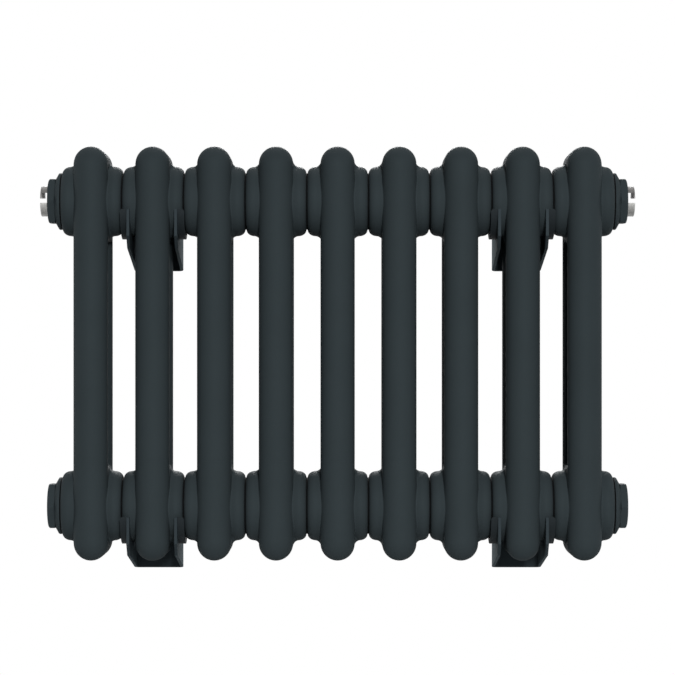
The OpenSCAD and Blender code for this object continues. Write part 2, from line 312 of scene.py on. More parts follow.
def turned(along, radius, columns, side, origin):
    """Grid of a shape turned about X: column k stands at angle 2 pi k / columns from +Y, at
    (along, radius cos angle, radius sin angle). radius is one value a row, or one a row and column."""
    angle = np.arange(columns) * 2 * np.pi / columns
    radius = np.asarray(radius)
    if radius.ndim == 1:
        radius = radius[:, None]
    radius = np.broadcast_to(radius, (len(along), columns))
    x = np.broadcast_to(np.asarray(along)[:, None] * side, radius.shape)
    return np.stack([x, radius * np.cos(angle), radius * np.sin(angle)], -1) + origin


def rounded(along, radius, size, first, last, steps=4):
    """Rows of a quarter-round edge: centre (along, radius), from the first to the last angle in degrees,
    where 0 points along the axis and 90 away from it."""
    angle = np.radians(np.linspace(first, last, steps + 1))
    return [(along + size * math.cos(a), radius + size * math.sin(a)) for a in angle]


# ---------------------------------------------------------------- heads and columns


class HeadShape:
    """Surface of a pressed head, in millimetres from the middle of its hub. Two distances, to the columns
    and to the hub, are joined so that a hollow of a set radius runs between them."""

    # How far past the hub's straight part its dip ends, and the length over which it fades out.
    DIP_END, DIP_FADE = 1, 6
    # How far inside the columns' axes the wide saddle starts, and the length over which it grows.
    SADDLE_START, SADDLE_FADE = 6, 8
    # How fast the radius of the web's hollow grows above the arch, and the least square of its middle.
    FLATTENING, LEAST_SQUARE = 200, 1e-9
    # Step in which the slope is measured, the longest move onto the surface, and the least squared slope.
    SLOPE_STEP, LONGEST_MOVE, LEAST_SLOPE = 0.01, 2, 0.2
    # Share of even spacing in the angles of the points round the hub's face.
    EVENNESS = 0.3
    # How much more the rows near a crease pull, and how near they have to be.
    CROWDING, CROWDING_REACH = 3, 2
    # Share of its own place that a point keeps each time that the grid is evened out.
    KEPT = 0.3

    def __init__(self, sizes):
        low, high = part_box("section_1_top_head")
        column_low, column_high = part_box("section_1_front_column")
        y, z = hub_line("top")
        self.tube = MM * (column_high.x - column_low.x) / 2
        self.spread = MM * (high.y - low.y) / 2 - self.tube
        self.gap = self.spread - self.tube
        self.rise = MM * (high.z - z) - self.tube
        self.foot = MM * (z - low.z)
        self.half = MM * (high.x - low.x) / 2
        self.hub = MM * sizes.hub_diameter / 2
        self.face = MM * sizes.face_diameter / 2
        self.thread = MM * sizes.thread_diameter / 2
        self.round = MM * sizes.hub_round
        self.dip = MM * sizes.hub_dip
        self.bend = MM * sizes.crown_bend
        self.crease = MM * sizes.crease
        self.saddle = MM * sizes.saddle
        self.arch_rise = MM * sizes.web_arch

    def arch(self, x, y, z):
        """Distance to the tube that goes up one column, over the crown and down the other. Below the hub
        a web fills in between the columns: a hollow that touches both, whose radius grows with height
        until it is flat. It starts as an arch, at the height where that radius lets the two sides
        meet."""
        x, y = np.abs(x), np.abs(y)
        bend_y, bend_z = self.spread - self.bend, self.rise - self.bend
        leg = np.hypot(y - self.spread, np.maximum(z - bend_z, 0))
        bar = np.hypot(z - self.rise, np.maximum(y - bend_y, 0))
        bend = np.abs(np.hypot(y - bend_y, z - bend_z) - self.bend)
        line = np.where((y > bend_y) & (z > bend_z), bend, np.minimum(leg, bar))
        near = np.hypot(line, x) - self.tube
        height = np.maximum(z + self.foot, 0) / self.arch_rise
        meeting = (self.spread**2 - self.tube**2) / (2 * self.tube)
        radius = self.gap + (meeting - self.gap) * height**2
        radius = radius + self.FLATTENING * np.maximum(height - 1, 0) ** 2
        middle = np.sqrt(np.maximum((self.tube + radius) ** 2 - self.spread**2, self.LEAST_SQUARE))
        between = (y / self.spread + x / middle < 1) & (z < 0)
        return np.where(between, radius - np.hypot(middle - x, y), near)

    def hub_end(self, x, y, z):
        """Distance to the hub: a cylinder along X whose ends close with a quarter ellipse and a flat
        face. Beside the columns it is an ellipse, shallower by the dip, which fades out along a smooth
        step."""
        x = np.abs(x)
        straight = self.half - self.round
        dip = self.dip * eased((straight + self.DIP_END - x) / self.DIP_FADE)
        out = np.hypot(y * self.hub / (self.hub - dip), z)
        along = np.maximum(x - straight, 0) / self.round
        across = np.maximum(out - self.face, 0) / (self.hub - self.face)
        edge = (np.hypot(along, across) - 1) * (self.hub - self.face)
        return np.where(x < straight, out - self.hub, np.where(out > self.face, edge, x - self.half))

    def field(self, p):
        """Below 0 inside: the smaller distance, rounded off to the blend radius where both are small. The
        blend is a tight crease at the outer sides of the columns and a wide saddle between them."""
        arch, hub = self.arch(*p), self.hub_end(*p)
        inner = eased((self.spread - self.SADDLE_START - np.abs(p[1])) / self.SADDLE_FADE)
        blend = self.crease + (self.saddle - self.crease) * inner
        hollow = np.hypot(np.maximum(blend - arch, 0), np.maximum(blend - hub, 0))
        return np.maximum(blend, np.minimum(arch, hub)) - hollow

    def pulled(self, p, times):
        """Points moved onto the surface by Newton steps along the field's slope."""
        for _ in range(times):
            slope = []
            for axis in range(3):
                step = np.zeros((3, 1, 1))
                step[axis] = self.SLOPE_STEP
                slope.append((self.field(p + step) - self.field(p - step)) / (2 * self.SLOPE_STEP))
            slope = np.array(slope)
            move = np.clip(self.field(p), -self.LONGEST_MOVE, self.LONGEST_MOVE)
            p = p - slope * move / np.maximum((slope**2).sum(0), self.LEAST_SLOPE)
        return p

    def border(self, down, across, up):
        """Edge of a quarter head: at x = 0 from the crown over the bend and down the front of the column,
        round half of its foot, then up its back and along the web's elliptic arch to the middle."""
        bend_y, bend_z = self.spread - self.bend, self.rise - self.bend
        outer = self.tube + self.bend
        way = np.linspace(0, bend_y + np.pi / 2 * outer + bend_z + self.foot, down + 1)
        turn = np.clip((way - bend_y) / outer, 0, np.pi / 2)
        y = -(np.minimum(way, bend_y) + outer * np.sin(turn))
        z = bend_z + outer * np.cos(turn) - np.maximum(way - bend_y - np.pi / 2 * outer, 0)
        front = np.array([0 * way, y, z])
        turn = np.linspace(0, np.pi, across + 1)[1:]
        level = 0 * turn - self.foot
        foot = np.array([self.tube * np.sin(turn), -self.spread - self.tube * np.cos(turn), level])
        turn = np.linspace(0, np.pi / 2, up + 1)[1:]
        web = np.array([0 * turn, -self.gap * np.cos(turn), self.arch_rise * np.sin(turn) - self.foot])
        return np.concatenate([front, foot, web], axis=1)

    def evened(self, p):
        """Each point at the mean of its four neighbours, weighed by how near a crease they lie. Past the
        planes x = 0 and y = 0 the neighbours are mirrored, and along the border only the two beside it
        count."""
        crease = (self.arch(*p) - self.hub_end(*p)) / self.CROWDING_REACH
        pull = 1 + self.CROWDING * np.exp(-(crease**2))
        grid = np.concatenate([p, pull[None]])
        over_x = np.array([-1, 1, 1, 1])[:, None, None]
        over_y = np.array([1, -1, 1, 1])[:, None, None]
        above = np.concatenate([grid[:, 1:2] * over_x, grid[:, :-1]], axis=1)
        below = np.concatenate([grid[:, 1:], grid[:, -1:]], axis=1)
        before = np.concatenate([grid[:, :, 1:2] * over_y, grid[:, :, :-1]], axis=2)
        after = np.concatenate([grid[:, :, 1:], grid[:, :, -2:-1] * over_y], axis=2)
        for neighbour in (above, below, before, after):
            neighbour[3] += pull
            neighbour[:3] *= neighbour[3]
        beside = before + after
        mean = above + below + beside
        mean[:, 0] = beside[:, 0]
        return mean[:3] / mean[3]

    def quarter(self, down=72, across=28, up=14, rows=38, rounds=300):
        """Grid of a quarter head, (3, rows + 4, columns): the sole, the border, the rows to the circle of
        the hub's face, the lip of the thread and its tunnel. The rows start as a blend of border and
        circle. They are then evened out and pulled back onto the surface, many times over."""
        border = self.border(down, across, up)
        even = np.linspace(np.pi / 2, -np.pi / 2, border.shape[1])
        seen = np.minimum.accumulate(np.arctan2(border[2], -border[1]))
        angle = (1 - self.EVENNESS) * np.clip(seen, -np.pi / 2, np.pi / 2) + self.EVENNESS * even
        angle[[0, -1]] = np.pi / 2, -np.pi / 2
        face = np.array([self.half + 0 * angle, -self.face * np.cos(angle), self.face * np.sin(angle)])
        part = np.linspace(0, 1, rows + 1)[:, None]
        start = border[:, None, :] * (1 - part) + face[:, None, :] * part
        start[0] = border[0] * (1 - part) + self.half * np.sin(part * np.pi / 2)
        foot = slice(down, down + across + 1)

        def held(p):
            """Holds the foot, the face's circle and the planes x = 0 and y = 0 in their places."""
            p[:, 0, foot] = start[:, 0, foot]
            p[:, -1] = face
            p[0, 0, : down + 1] = p[0, 0, down + across :] = 0
            p[1, :, [0, -1]] = 0
            return p

        p = held(self.pulled(start, 4))
        for _ in range(rounds):
            p = held(self.pulled(self.KEPT * p + (1 - self.KEPT) * self.evened(p), 1))
        p = held(self.pulled(p, 4))
        narrowed = self.thread / self.face
        lip = p[:, -1] * np.array([1, narrowed, narrowed])[:, None]
        tunnel = lip * np.array([0, 1, 1])[:, None]
        sole = p[:, 0].copy()
        sole[0] = 0
        return np.concatenate([sole[:, None], p, lip[:, None], tunnel[:, None]], axis=1)

    def mesh(self):
        """The whole head: the quarter grid mirrored in X and Y, in metres."""
        quarter = np.moveaxis(self.quarter(), 0, -1) / MM
        sides = [quarter * np.array([sx, sy, 1]) for sx in (1, -1) for sy in (1, -1)]
        return surface_mesh("head", [(side, False, False) for side in sides])


class RADIATOR_OT_heads(bpy.types.Operator):
    """Builds every head as one smooth pressed shell with hollows between its columns and its hub"""

    bl_idname = "radiator.heads"
    bl_label = "Heads"

    def execute(self, context):
        shape = HeadShape(context.scene.radiator_section)
        pattern = shape.mesh()
        paint = made_material("powder_coated_steel", powder_coat, context.scene.radiator_finish.paint)
        for number in SECTIONS:
            for level in LEVELS:
                node = f"section_{number}_{level}_head"
                y, z = hub_line(level)
                mesh = moved_copy(pattern, np.array([centre(node).x, y, z]), level == "bottom")
                put_piece(f"Head_{number}_{level}", mesh, paint, [node])
        bpy.data.meshes.remove(pattern)
        return {"FINISHED"}


class RADIATOR_OT_columns(bpy.types.Operator):
    """Builds every column as a plain round tube, closed where it is welded to its heads"""

    bl_idname = "radiator.columns"
    bl_label = "Columns"

    def execute(self, context):
        sizes = context.scene.radiator_section
        paint = made_material("powder_coated_steel", powder_coat, context.scene.radiator_finish.paint)
        for number in SECTIONS:
            for row in ("front", "rear"):
                node = f"section_{number}_{row}_column"
                mesh = surface_mesh(node, [(self.tube(node, sizes.segments), False, True)])
                put_piece(f"Column_{number}_{row}", mesh, paint, [node])
        return {"FINISHED"}

    @staticmethod
    def tube(node, segments):
        """A circle of the column's radius carried up Z, with both ends drawn in to the axis."""
        low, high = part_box(node)
        middle = (low + high) / 2
        angle = np.arange(segments) * 2 * np.pi / segments
        radius = np.array([0, 1, 1, 1, 1, 1, 0])[:, None] * (high.x - low.x) / 2
        z = np.concatenate([[low.z], np.linspace(low.z, high.z, 5), [high.z]])[:, None] + 0 * angle
        return np.stack([middle.x + radius * np.cos(angle), middle.y + radius * np.sin(angle), z], -1)


# ---------------------------------------------------------------- bushes, vent and plug


class RADIATOR_OT_bushes(bpy.types.Operator):
    """Builds the four hexagon bushes, the lower two with an open pipe thread"""

    bl_idname = "radiator.bushes"
    bl_label = "End bushes"

    COLUMNS = 144
    CHAMFER_ANGLE = math.radians(30)
    # The chamfer cuts the corners over this depth, where the rows lie close together.
    CHAMFER_DEPTH, CHAMFER_ROWS, ROW_GAP = 0.0017, 26, 0.0001
    # The higher a power, the tighter it rounds: the hexagon's corners, and the chamfer's edge.
    CORNER_POWER, CHAMFER_POWER = 70, 90
    THREAD_ROWS = 9

    def execute(self, context):
        sizes = context.scene.radiator_bush
        paint = made_material("powder_coated_bush", powder_coat, context.scene.radiator_finish.paint)
        for level in LEVELS:
            for side, sign in zip(SIDES, (-1, 1)):
                node = f"{level}_{side}_bush"
                low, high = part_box(node)
                y, z = hub_line(level)
                end = np.array([high.x if sign > 0 else low.x, y, z])
                along, radius = self.rows(sizes, level)
                grid = turned(along, radius, self.COLUMNS, sign, end)
                mesh = surface_mesh(node, [(grid, True, True)])
                put_piece(f"Bush_{level}_{side}", mesh, paint, [node], sharp=28)
        return {"FINISHED"}

    def rows(self, s, level):
        """Distances along the axis from the end face, and the radius at each and round each: thread, flange
        and cone, then the hexagon under its chamfer cone, then the port."""
        flange, edge, port = s.flange_diameter / 2, s.edge, s.port_diameter / 2
        hexagon = -s.hexagon_length
        seat = hexagon - s.cone - s.rim
        start = seat - s.thread_length
        outer = [
            (start, port + s.depth),
            (start, s.thread_diameter / 2 - s.depth),
            (start + s.depth, s.thread_diameter / 2),
            (seat, s.thread_diameter / 2),
            *rounded(seat + edge, flange - edge, edge, 180, 90),
            *rounded(hexagon - s.cone - s.rim_round / 4, flange - s.rim_round, s.rim_round, 90, 35, 5),
            (hexagon, s.neck_diameter / 2),
        ]
        along = np.array([a for a, _ in outer])
        radius = np.tile(np.array([r for _, r in outer])[:, None], self.COLUMNS)
        chamfer = np.linspace(-self.CHAMFER_DEPTH, 0, self.CHAMFER_ROWS)
        flats = np.linspace(hexagon + edge, chamfer[0] - self.ROW_GAP, 4)
        hex_along = np.concatenate([[hexagon], flats, chamfer])
        along, radius = np.concatenate([along, hex_along]), np.concatenate([radius, self.nut(s, hex_along)])
        if level == "top":
            pocket, bottom = s.pocket_diameter / 2, -s.pocket_depth
            inner = [(0, pocket + edge), (-edge, pocket), (bottom, pocket), (bottom, port), (start, port)]
            along = np.concatenate([along, [a for a, _ in inner]])
            inner_radius = np.tile(np.array([r for _, r in inner])[:, None], self.COLUMNS)
            return along, np.concatenate([radius, inner_radius])
        bore_along = np.arange(0, start, -s.pitch / self.THREAD_ROWS)
        return np.concatenate([along, bore_along]), np.concatenate([radius, self.pipe_thread(s, bore_along)])

    def nut(self, s, along):
        """Hexagon with corners at +Y and -Y under a chamfer cone. Its corners are rounded by a power sum of
        the flats' cosines, and the edge between flats and cone by a power mean of the two radii."""
        angle = np.arange(self.COLUMNS) * 2 * np.pi / self.COLUMNS
        flats = np.radians(30 + 60 * np.arange(6))[:, None]
        reach = (np.maximum(np.cos(angle - flats), 0) ** self.CORNER_POWER).sum(0) ** (1 / self.CORNER_POWER)
        sides = s.hexagon / 2 / reach
        cone = s.face_diameter / 2 - along[:, None] / math.tan(self.CHAMFER_ANGLE)
        power = -float(self.CHAMFER_POWER)
        return (sides[None] ** power + cone**power) ** (1 / power)

    def pipe_thread(self, s, along):
        """Inner thread: the minor radius plus half the depth times (1 - cos phase), where the phase gains
        a turn for each pitch along the axis and loses one round it. A cone opens the mouth."""
        angle = np.arange(self.COLUMNS) * 2 * np.pi / self.COLUMNS
        phase = 2 * np.pi * along[:, None] / s.pitch - angle
        groove = s.depth / 2 * (1 - np.cos(phase))
        mouth = s.port_diameter / 2 + s.depth + s.mouth + along[:, None]
        return np.maximum(s.port_diameter / 2 + groove, mouth)


# Steps round a slotted head's rim, along its arc and along its straight side.
RIM_STEPS, ARC_STEPS, FLAT_STEPS = 6, 64, 49


def plug_block(s, upper, side, origin, face, bored):
    """One half of a slotted head: a circular segment carried along X. Its radius follows the collar and
    the rounded rim, and its straight edge steps at the undercut. A bored head's lower half dips round the
    screw's bore as far as the collar and round the key hole from there on. The whole is turned about X by
    the angle that the slot was left at."""
    arc, edge, small = s.diameter / 2, s.edge, s.broken_edge
    collar = s.collar_diameter / 2
    level = s.undercut if upper else s.slot_below
    slot = s.slot_above if upper else s.slot_below
    step = s.height - face
    rows = [(0, collar - small, level), (small, collar, level)]
    rows += [(s.collar - small, collar, level), (s.collar, collar - small, level)]
    collar_rows = len(rows)
    rows += [(s.collar, arc, level), (step - small, arc, level), (step, arc, level)]
    rows += [(step, arc, slot + small), (step + small, arc, slot)]
    for turn in np.radians(np.linspace(0, 90, RIM_STEPS + 1)):
        lift = s.height - edge + edge * math.sin(turn)
        broken = small - math.sqrt(max(small**2 - max(lift - s.height + small, 0) ** 2, 0))
        rows.append((lift, arc - edge + edge * math.cos(turn), slot + broken))
    along, radius, chord = np.array(rows).T
    meet = np.arcsin(chord / radius)[:, None]
    angle = meet + (np.pi - 2 * meet) * np.linspace(0, 1, ARC_STEPS + 1)
    y, z = radius[:, None] * np.cos(angle), radius[:, None] * np.sin(angle)
    flat_y = y[:, -1:] + (y[:, :1] - y[:, -1:]) * np.linspace(0, 1, FLAT_STEPS + 1)[1:-1]
    flat_z = np.broadcast_to(chord[:, None], flat_y.shape)
    if bored and not upper:
        hole = np.where(np.arange(len(rows)) < collar_rows, s.bore, s.key_hole)[:, None] / 2
        flat_z = np.maximum(flat_z, np.sqrt(np.maximum(hole**2 - flat_y**2, 0)))
    y, z = np.concatenate([y, flat_y], 1), np.concatenate([z, flat_z], 1)
    middle_y = 0 * y[:1]
    middle_z = middle_y + (radius.max() + level) / 2
    y, z = np.concatenate([middle_y, y, middle_y]), np.concatenate([middle_z, z, middle_z])
    x = np.concatenate([along[:1], along, along[-1:]])[:, None] * side + 0 * y
    z = z if upper else -z
    cos, sin = math.cos(s.turn), math.sin(s.turn)
    return np.stack([x, y * cos - z * sin, y * sin + z * cos], -1) + origin


def plug_tail(s, bored, side, origin, columns=144):
    """Grid of the threaded tail: a turned cylinder, either solid or with the bleed screw's bore, its air
    groove and the orifice."""
    outer, edge, bore, hole = s.tail_diameter / 2, s.broken_edge, s.bore / 2, s.orifice / 2
    lead = 4 * edge
    skin = [(-s.tail, outer - lead), (-s.tail + lead, outer), (0, outer)]
    if not bored:
        along, radius = np.array([(-s.tail, 0), *skin, (0, 0)]).T
        return turned(along, radius, columns, side, origin)
    mouth = [(0, bore + edge), (-edge, bore)]
    bottom = [(-s.bore_depth, bore), (-s.bore_depth, hole)]
    along, radius = np.array([(-s.tail, hole), *skin, *mouth, *bottom]).T
    angle = np.arange(columns) * 2 * np.pi / columns
    radius = np.tile(radius[:, None], columns)
    groove = (np.abs(bore * np.cos(angle)) < s.groove / 2) & (np.sin(angle) > 0)
    first = 1 + len(skin)
    radius[first : first + 3, groove] += s.groove_depth
    return turned(along, radius, columns, side, origin)


def shade_upper_half(piece, origin, height, nickel):
    """Gives the faces of a slotted head that lie higher than this over its axis a darker nickel: painted
    shade for the dim reflection of its upper half.
    """
    mesh = piece.data
    mesh.materials.append(nickel)
    centres = np.empty(len(mesh.polygons) * 3)
    mesh.polygons.foreach_get("center", centres)
    x, _, z = centres.reshape(-1, 3).T
    upper = (z > origin[2] + height) & (np.abs(x) > abs(origin[0]))
    mesh.polygons.foreach_set("material_index", upper.astype(int))


def plug_origin(node, side, sizes):
    """Where a plug's collar meets the bush: its end less the head's height, on the hub's axis."""
    low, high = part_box(node)
    y, z = hub_line("top")
    return np.array([(high.x if side > 0 else low.x) - side * sizes.height, y, z])


def slotted_plug(context, name, node, side, face, bored):
    """Puts a vent or plug on its end of the hub: two halves of a slotted head, and the tail."""
    sizes, finish = context.scene.radiator_plug, context.scene.radiator_finish
    origin = plug_origin(node, side, sizes)
    halves = [plug_block(sizes, upper, side, origin, face, bored) for upper in (True, False)]
    tail = plug_tail(sizes, bored, side, origin)
    mesh = surface_mesh(node, [*((half, False, True) for half in halves), (tail, bored, True)])
    nickel = made_material("nickel_plated_brass", turned_nickel, finish.nickel)
    piece = put_piece(name, mesh, nickel, [node], sharp=40)
    # Painted shade: the heads' upper halves take a darker nickel in place of the darker reflection that
    # falls there.
    shaded = made_material("shaded_nickel_plate", turned_nickel, finish.shaded_nickel)
    shade_upper_half(piece, origin, sizes.shaded_above, shaded)


class RADIATOR_OT_vent(bpy.types.Operator):
    """Builds the air vent: two halves of a slotted head on a tail with the bleed screw's bore"""

    bl_idname = "radiator.vent"
    bl_label = "Air vent"

    def execute(self, context):
        finish = context.scene.radiator_finish
        slotted_plug(context, "Vent_body", "vent_body", -1, context.scene.radiator_plug.vent_face, True)
        dress("bleed_screw", made_material("nickel_plated_brass", turned_nickel, finish.nickel))
        dress("vent_pad", made_material("moulded_epdm_rubber", moulded_rubber, finish.rubber))
        return {"FINISHED"}


class RADIATOR_OT_plug(bpy.types.Operator):
    """Builds the blanking plug, whose head matches the vent's"""

    bl_idname = "radiator.plug"
    bl_label = "Blanking plug"

    def execute(self, context):
        slotted_plug(context, "Plug_body", "blank_plug", 1, context.scene.radiator_plug.face, False)
        return {"FINISHED"}


# ---------------------------------------------------------------- brackets, liners and seals


def edged_copy(name, node, material):
    """A piece in the shape of a CAD solid, with its triangles joined to flat faces that can be rounded."""
    mesh = NODES[node].data.copy()
    merge(mesh, flat_angle=math.radians(1))
    return put_piece(name, mesh, material, [node], sharp=30)


def edge_round(piece, width, sharp=40):
    """Narrow round on every edge that is sharper than an angle in degrees."""
    bevel = piece.modifiers.new("Edge round", "BEVEL")
    bevel.width = width
    bevel.segments = 2
    bevel.limit_method = "ANGLE"
    bevel.angle_limit = math.radians(sharp)
    bevel.harden_normals = True


def liner(sizes, level, bracket, cheek, steps=64, bend_steps=8):
    """Saddle on one cheek: an L section of the lining and its rim, carried round the hub below the top of
    the bracket's arms. Each point of the section starts and ends at its own height, so that the rim's top
    outer corners are round. Both ends are drawn in to a point near the L's inner corner, which sees all
    of it."""
    low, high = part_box(f"{bracket}_liners")
    plate_low, plate_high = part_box(f"{bracket}_bracket")
    y, z = hub_line(level)
    middle = (low.x + high.x) / 2
    plate, outer = (plate_high.x - plate_low.x) / 2, high.x - middle
    seat, rim = sizes.seat_diameter / 2, z - low.z
    inner = plate - sizes.sheet
    bend = plate + np.linspace(0, outer - plate, bend_steps + 1)[1:]
    along = np.array([inner, plate, *bend, *bend[::-1], plate, plate, inner])
    radius = [seat] * (2 + bend_steps) + [rim] * (bend_steps + 1) + [seat + sizes.lining] * 2
    radius = np.array(radius)
    drop = sizes.corner - np.sqrt(sizes.corner**2 - np.maximum(along - outer + sizes.corner, 0) ** 2)
    start = np.arcsin((z - high.z + drop) / radius)
    turn = start + (np.pi - 2 * start) * np.linspace(0, 1, steps + 1)[:, None]
    x = middle + cheek * along + 0 * turn
    grid = np.stack([x, y - radius * np.cos(turn), z - radius * np.sin(turn)], -1)
    # The section's points at its inner corner, at the rim beside the cheek and at the seat's outer end.
    corners = [1, -4, 1 + bend_steps]
    weights = np.array([0.75, 0.15, 0.10])[:, None]
    heart = (grid[[0, -1]][:, corners] * weights).sum(1)[:, None]
    ends = np.broadcast_to(heart, grid[:2].shape)
    return np.concatenate([ends[:1], grid, ends[1:]])


class RADIATOR_OT_brackets(bpy.types.Operator):
    """Rounds the cut edges of the four folded brackets and the moulded edges of their liners"""

    bl_idname = "radiator.brackets"
    bl_label = "Brackets and liners"

    def execute(self, context):
        sizes, finish = context.scene.radiator_sheet, context.scene.radiator_finish
        paint = made_material("powder_coated_sheet", powder_coat, finish.bracket_paint, finish.flake)
        nylon = made_material("moulded_nylon", moulded_nylon, finish.nylon)
        for level in LEVELS:
            for side in SIDES:
                name = f"{level}_{side}"
                sheet = edged_copy(f"Bracket_{name}", f"{name}_bracket", paint)
                edge_round(sheet, sizes.cut_edge)
                grids = [(liner(sizes, level, name, cheek), False, True) for cheek in (-1, 1)]
                mesh = surface_mesh("liners", grids)
                node = f"{name}_liners"
                liners = put_piece(f"Liners_{name}", mesh, nylon, [node], sharp=30)
                edge_round(liners, sizes.moulded_edge)
        return {"FINISHED"}


def dress(node, material):
    """Puts a finish on a CAD node that stays as it is."""
    mesh = NODES[node].data
    mesh.materials.clear()
    mesh.materials.append(material)


class RADIATOR_OT_seals(bpy.types.Operator):
    """Finishes the gaskets, seal rings and nipples, which keep their CAD shape"""

    bl_idname = "radiator.seals"
    bl_label = "Gaskets, seals and nipples"

    def execute(self, context):
        finish = context.scene.radiator_finish
        rubber = made_material("moulded_epdm_rubber", moulded_rubber, finish.rubber)
        for node in ("top_gaskets", "bottom_gaskets", "bush_gaskets", "vent_seal_ring", "plug_seal_ring"):
            dress(node, rubber)
        zinc = made_material("zinc_plated_steel", plated_zinc, finish.zinc)
        for level in LEVELS:
            dress(f"{level}_nipples", zinc)
        return {"FINISHED"}


# ---------------------------------------------------------------- finishes


def add_node(tree, kind, inputs=None, **settings):
    """Adds a node, sets its settings, and fills its inputs with values or with links from other sockets."""
    node = tree.nodes.new(kind)
    for name, value in settings.items():
        setattr(node, name, value)
    for name, value in (inputs or {}).items():
        if isinstance(value, bpy.types.NodeSocket):
            tree.links.new(value, node.inputs[name])
        else:
            node.inputs[name].default_value = value
    return node


def made_material(name, recipe, *settings):
    """The material of a name. When it is first asked for, the recipe fills its tree from the object's own
    coordinates and the settings, and returns the surface's socket."""
    if name not in bpy.data.materials:
        material = bpy.data.materials.new(name)
        material.use_nodes = True
        tree = material.node_tree
        tree.nodes.clear()
        place = add_node(tree, "ShaderNodeTexCoord").outputs["Object"]
        surface = recipe(tree, place, *settings)
        add_node(tree, "ShaderNodeOutputMaterial", {"Surface": surface})
    return bpy.data.materials[name]


def tinted(tree, place, tone, patch, spread):
    """The colour, made lighter and darker by up to the spread in soft patches of a size in metres. Nearly
    all of a noise texture's values lie between the two that are mapped."""
    cloud = add_node(tree, "ShaderNodeTexNoise", {"Vector": place, "Scale": 1 / patch, "Detail": 3.0})
    bounds = {"From Min": 0.3, "From Max": 0.7, "To Min": 1 - spread, "To Max": 1 + spread}
    level = add_node(tree, "ShaderNodeMapRange", {"Value": cloud.outputs["Fac"], **bounds})
    scale = {0: tuple(tone)[:3], "Scale": level.outputs["Result"]}
    return add_node(tree, "ShaderNodeVectorMath", scale, operation="SCALE").outputs["Vector"]


def powder_coat(tree, place, tone, flake=0.0):
    """Polyester powder coat, sprayed and baked on steel: an even satin-matt skin that lies soft over
    edges, with a fine orange peel that only shows in the highlights. A share of metal flake gives it a
    cool sheen where it is seen at a flat angle."""
    peel_width, peel_depth, grain_width = 0.0016, 0.00004, 0.0009
    base = tinted(tree, place, tone, patch=0.030, spread=0.03)
    peel = add_node(tree, "ShaderNodeTexNoise", {"Vector": place, "Scale": 1 / peel_width, "Detail": 1.0})
    bump = add_node(
        tree, "ShaderNodeBump", {"Height": peel.outputs["Fac"], "Strength": 0.25, "Distance": peel_depth}
    )
    grain = add_node(tree, "ShaderNodeTexNoise", {"Vector": place, "Scale": 1 / grain_width, "Detail": 2.0})
    rough = add_node(
        tree, "ShaderNodeMapRange", {"Value": grain.outputs["Fac"], "To Min": 0.56, "To Max": 0.68}
    )
    finish = {"IOR": 1.5, "Specular IOR Level": 0.03, "Metallic": flake}
    finish |= {"Specular Tint": (0.72, 0.93, 1.0, 1.0), "Base Color": base}
    finish |= {"Roughness": rough.outputs["Result"], "Normal": bump.outputs["Normal"]}
    return add_node(tree, "ShaderNodeBsdfPrincipled", finish).outputs["BSDF"]


def turned_nickel(tree, place, tone):
    """Satin nickel plate on turned brass: a warm grey metal with fine rings about the turning axis. The
    rings are coarser than a real tool mark, so that they show."""
    ring_step, ring_depth, stain_width = 0.00025, 0.00003, 0.002
    rings_per_metre = 3.2  # of a wave texture whose scale is 1
    y, z = hub_line("top")
    centred = add_node(tree, "ShaderNodeMapping", {"Vector": place, "Location": (0, -y, -z)})
    rings = add_node(
        tree,
        "ShaderNodeTexWave",
        {"Vector": centred.outputs["Vector"], "Scale": 1 / ring_step / rings_per_metre,
         "Distortion": 0.4, "Detail": 1.0},
        wave_type="RINGS",
        rings_direction="X",
    )
    stain = add_node(tree, "ShaderNodeTexNoise", {"Vector": place, "Scale": 1 / stain_width, "Detail": 4.0})
    rough = add_node(
        tree, "ShaderNodeMapRange", {"Value": stain.outputs["Fac"], "To Min": 0.42, "To Max": 0.58}
    )
    bump = add_node(
        tree, "ShaderNodeBump", {"Height": rings.outputs["Fac"], "Strength": 0.2, "Distance": ring_depth}
    )
    base = tinted(tree, place, tone, patch=0.0012, spread=0.15)
    finish = {"Base Color": base, "Metallic": 1.0}
    finish |= {"Roughness": rough.outputs["Result"], "Normal": bump.outputs["Normal"]}
    return add_node(tree, "ShaderNodeBsdfPrincipled", finish).outputs["BSDF"]


def moulded_rubber(tree, place, tone):
    """EPDM rubber, moulded: nearly black and matt, with a dusty bloom in soft patches."""
    grain_width, grain_depth = 0.0004, 0.00003
    grain = add_node(tree, "ShaderNodeTexNoise", {"Vector": place, "Scale": 1 / grain_width, "Detail": 2.0})
    bump = add_node(
        tree, "ShaderNodeBump", {"Height": grain.outputs["Fac"], "Strength": 0.3, "Distance": grain_depth}
    )
    base = tinted(tree, place, tone, patch=0.004, spread=0.15)
    finish = {"Base Color": base, "Normal": bump.outputs["Normal"]}
    finish |= {"Roughness": 0.8, "IOR": 1.5, "Specular IOR Level": 0.05}
    return add_node(tree, "ShaderNodeBsdfPrincipled", finish).outputs["BSDF"]


def moulded_nylon(tree, place, tone):
    """Dark grey nylon, injection moulded with a fine spark-eroded texture: matt and slightly waxy."""
    grain_width, grain_depth = 0.0005, 0.00003
    grain = add_node(tree, "ShaderNodeTexVoronoi", {"Vector": place, "Scale": 1 / grain_width})
    relief = {"Height": grain.outputs["Distance"], "Strength": 0.3, "Distance": grain_depth}
    bump = add_node(tree, "ShaderNodeBump", relief)
    base = tinted(tree, place, tone, patch=0.008, spread=0.05)
    finish = {"Base Color": base, "Normal": bump.outputs["Normal"]}
    finish |= {"Roughness": 0.55, "IOR": 1.53, "Specular IOR Level": 0.08}
    return add_node(tree, "ShaderNodeBsdfPrincipled", finish).outputs["BSDF"]


